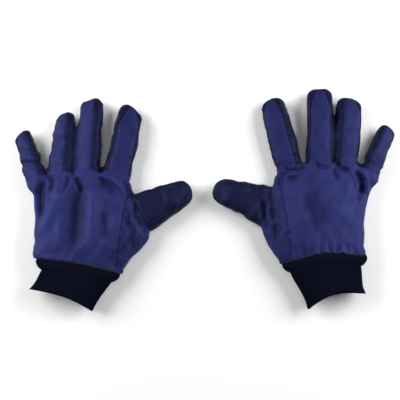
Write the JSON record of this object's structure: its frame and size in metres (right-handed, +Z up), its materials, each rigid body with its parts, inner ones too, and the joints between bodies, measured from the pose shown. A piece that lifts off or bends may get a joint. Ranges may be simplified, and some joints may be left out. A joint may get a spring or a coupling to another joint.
{
  "type": "cryogenic gloves",
  "caption": "Pair of insulated cold-handling gloves lying palm down: woven shell with separate finger side strips, quilted liner and doubled rib-knit wrist cuffs.",
  "frame": {"origin": "middle of the pair's footprint, on the surface the gloves lie on", "axes": "+X along the pair from the left glove to the right glove, +Y towards the fingertips, +Z up out of the backs of the hands"},
  "size_m": [0.5576, 0.3282, 0.042],
  "materials": {
    "shell_fabric": "woven nylon with a slight sheen",
    "rib_knit": "matt rib knit",
    "quilted_liner": "brushed fleece over batting",
    "binding_tape": "matt woven tape"
  },
  "bodies": {
    "left_hand": {"left_back_panel": "shell_fabric", "left_palm_panel": "shell_fabric", "left_thumb_wing": "shell_fabric", "left_hand_liner": "quilted_liner", "left_hem_binding": "binding_tape"},
    "left_cuff": {"left_cuff_band": "rib_knit", "left_knit_cuff": "rib_knit"},
    "left_index_base": {"left_index_base_shell": "shell_fabric", "left_index_base_liner": "quilted_liner"},
    "left_index_tip": {"left_index_tip_shell": "shell_fabric", "left_index_tip_liner": "quilted_liner"},
    "left_middle_base": {"left_middle_base_shell": "shell_fabric", "left_middle_base_liner": "quilted_liner"},
    "left_middle_tip": {"left_middle_tip_shell": "shell_fabric", "left_middle_tip_liner": "quilted_liner"},
    "left_ring_base": {"left_ring_base_shell": "shell_fabric", "left_ring_base_liner": "quilted_liner"},
    "left_ring_tip": {"left_ring_tip_shell": "shell_fabric", "left_ring_tip_liner": "quilted_liner"},
    "left_little_base": {"left_little_base_shell": "shell_fabric", "left_little_base_liner": "quilted_liner"},
    "left_little_tip": {"left_little_tip_shell": "shell_fabric", "left_little_tip_liner": "quilted_liner"},
    "left_thumb_base": {"left_thumb_base_shell": "shell_fabric", "left_thumb_base_liner": "quilted_liner"},
    "left_thumb_tip": {"left_thumb_tip_shell": "shell_fabric", "left_thumb_tip_liner": "quilted_liner"},
    "right_hand": {"right_back_panel": "shell_fabric", "right_palm_panel": "shell_fabric", "right_thumb_wing": "shell_fabric", "right_hand_liner": "quilted_liner", "right_hem_binding": "binding_tape"},
    "right_cuff": {"right_cuff_band": "rib_knit", "right_knit_cuff": "rib_knit"},
    "right_index_base": {"right_index_base_shell": "shell_fabric", "right_index_base_liner": "quilted_liner"},
    "right_index_tip": {"right_index_tip_shell": "shell_fabric", "right_index_tip_liner": "quilted_liner"},
    "right_middle_base": {"right_middle_base_shell": "shell_fabric", "right_middle_base_liner": "quilted_liner"},
    "right_middle_tip": {"right_middle_tip_shell": "shell_fabric", "right_middle_tip_liner": "quilted_liner"},
    "right_ring_base": {"right_ring_base_shell": "shell_fabric", "right_ring_base_liner": "quilted_liner"},
    "right_ring_tip": {"right_ring_tip_shell": "shell_fabric", "right_ring_tip_liner": "quilted_liner"},
    "right_little_base": {"right_little_base_shell": "shell_fabric", "right_little_base_liner": "quilted_liner"},
    "right_little_tip": {"right_little_tip_shell": "shell_fabric", "right_little_tip_liner": "quilted_liner"},
    "right_thumb_base": {"right_thumb_base_shell": "shell_fabric", "right_thumb_base_liner": "quilted_liner"},
    "right_thumb_tip": {"right_thumb_tip_shell": "shell_fabric", "right_thumb_tip_liner": "quilted_liner"}
  },
  "joints": [
    {"name": "left_wrist", "type": "hinge", "parent": "left_hand", "child": "left_cuff", "pos_m": [-0.1793, -0.09919, 0.019], "axis": [-0.9848, 0.1736, 0], "range_deg": [-15, 30]},
    {"name": "left_index_root", "type": "hinge", "parent": "left_hand", "child": "left_index_base", "pos_m": [-0.1279, 0.04007, 0.014], "axis": [-0.9781, 0.2079, 0], "range_deg": [-15, 50]},
    {"name": "left_index_middle", "type": "hinge", "parent": "left_index_base", "child": "left_index_tip", "pos_m": [-0.11815, 0.08597, 0.014], "axis": [-0.9781, 0.2079, 0], "range_deg": [0, 60]},
    {"name": "left_middle_root", "type": "hinge", "parent": "left_hand", "child": "left_middle_base", "pos_m": [-0.1719, 0.04507, 0.014], "axis": [-0.9962, 0.0872, 0], "range_deg": [-15, 50]},
    {"name": "left_middle_middle", "type": "hinge", "parent": "left_middle_base", "child": "left_middle_tip", "pos_m": [-0.16753, 0.09502, 0.014], "axis": [-0.9962, 0.0872, 0], "range_deg": [0, 60]},
    {"name": "left_ring_root", "type": "hinge", "parent": "left_hand", "child": "left_ring_base", "pos_m": [-0.2114, 0.04207, 0.014], "axis": [-0.9945, 0.1045, 0], "range_deg": [-15, 50]},
    {"name": "left_ring_middle", "type": "hinge", "parent": "left_ring_base", "child": "left_ring_tip", "pos_m": [-0.20707, 0.08325, 0.014], "axis": [-0.9945, 0.1045, 0], "range_deg": [0, 60]},
    {"name": "left_little_root", "type": "hinge", "parent": "left_hand", "child": "left_little_base", "pos_m": [-0.2479, 0.03207, 0.014], "axis": [-0.9511, -0.309, 0], "range_deg": [-15, 50]},
    {"name": "left_little_middle", "type": "hinge", "parent": "left_little_base", "child": "left_little_tip", "pos_m": [-0.25799, 0.06313, 0.014], "axis": [-0.9511, -0.309, 0], "range_deg": [0, 60]},
    {"name": "left_thumb_root", "type": "hinge", "parent": "left_hand", "child": "left_thumb_base", "pos_m": [-0.0909, -0.01893, 0.014], "axis": [0, 0, 1], "range_deg": [-10, 20]},
    {"name": "left_thumb_middle", "type": "hinge", "parent": "left_thumb_base", "child": "left_thumb_tip", "pos_m": [-0.05903, -0.00053, 0.014], "axis": [0, 0, 1], "range_deg": [0, 40]},
    {"name": "right_glove_lift", "type": "slide", "parent": "left_hand", "child": "right_hand", "axis": [0, 0, 1], "range_m": [0, 0.12]},
    {"name": "right_wrist", "type": "hinge", "parent": "right_hand", "child": "right_cuff", "pos_m": [0.1753, -0.08922, 0.019], "axis": [-0.9962, -0.0872, 0], "range_deg": [-15, 30]},
    {"name": "right_index_root", "type": "hinge", "parent": "right_hand", "child": "right_index_base", "pos_m": [0.1241, 0.05007, 0.014], "axis": [-0.9744, -0.225, 0], "range_deg": [-15, 50]},
    {"name": "right_index_middle", "type": "hinge", "parent": "right_index_base", "child": "right_index_tip", "pos_m": [0.11354, 0.09579, 0.014], "axis": [-0.9744, -0.225, 0], "range_deg": [0, 60]},
    {"name": "right_middle_root", "type": "hinge", "parent": "right_hand", "child": "right_middle_base", "pos_m": [0.1681, 0.05507, 0.014], "axis": [-1, 0, 0], "range_deg": [-15, 50]},
    {"name": "right_middle_middle", "type": "hinge", "parent": "right_middle_base", "child": "right_middle_tip", "pos_m": [0.1681, 0.10521, 0.014], "axis": [-1, 0, 0], "range_deg": [0, 60]},
    {"name": "right_ring_root", "type": "hinge", "parent": "right_hand", "child": "right_ring_base", "pos_m": [0.2076, 0.05207, 0.014], "axis": [-0.9986, 0.0523, 0], "range_deg": [-15, 50]},
    {"name": "right_ring_middle", "type": "hinge", "parent": "right_ring_base", "child": "right_ring_tip", "pos_m": [0.20996, 0.09709, 0.014], "axis": [-0.9986, 0.0523, 0], "range_deg": [0, 60]},
    {"name": "right_little_root", "type": "hinge", "parent": "right_hand", "child": "right_little_base", "pos_m": [0.2441, 0.04207, 0.014], "axis": [-0.9272, 0.3746, 0], "range_deg": [-15, 50]},
    {"name": "right_little_middle", "type": "hinge", "parent": "right_little_base", "child": "right_little_tip", "pos_m": [0.25633, 0.07235, 0.014], "axis": [-0.9272, 0.3746, 0], "range_deg": [0, 60]},
    {"name": "right_thumb_root", "type": "hinge", "parent": "right_hand", "child": "right_thumb_base", "pos_m": [0.0871, -0.00893, 0.014], "axis": [0, 0, -1], "range_deg": [-10, 20]},
    {"name": "right_thumb_middle", "type": "hinge", "parent": "right_thumb_base", "child": "right_thumb_tip", "pos_m": [0.0521, 0.00244, 0.014], "axis": [0, 0, -1], "range_deg": [0, 40]}
  ]
}
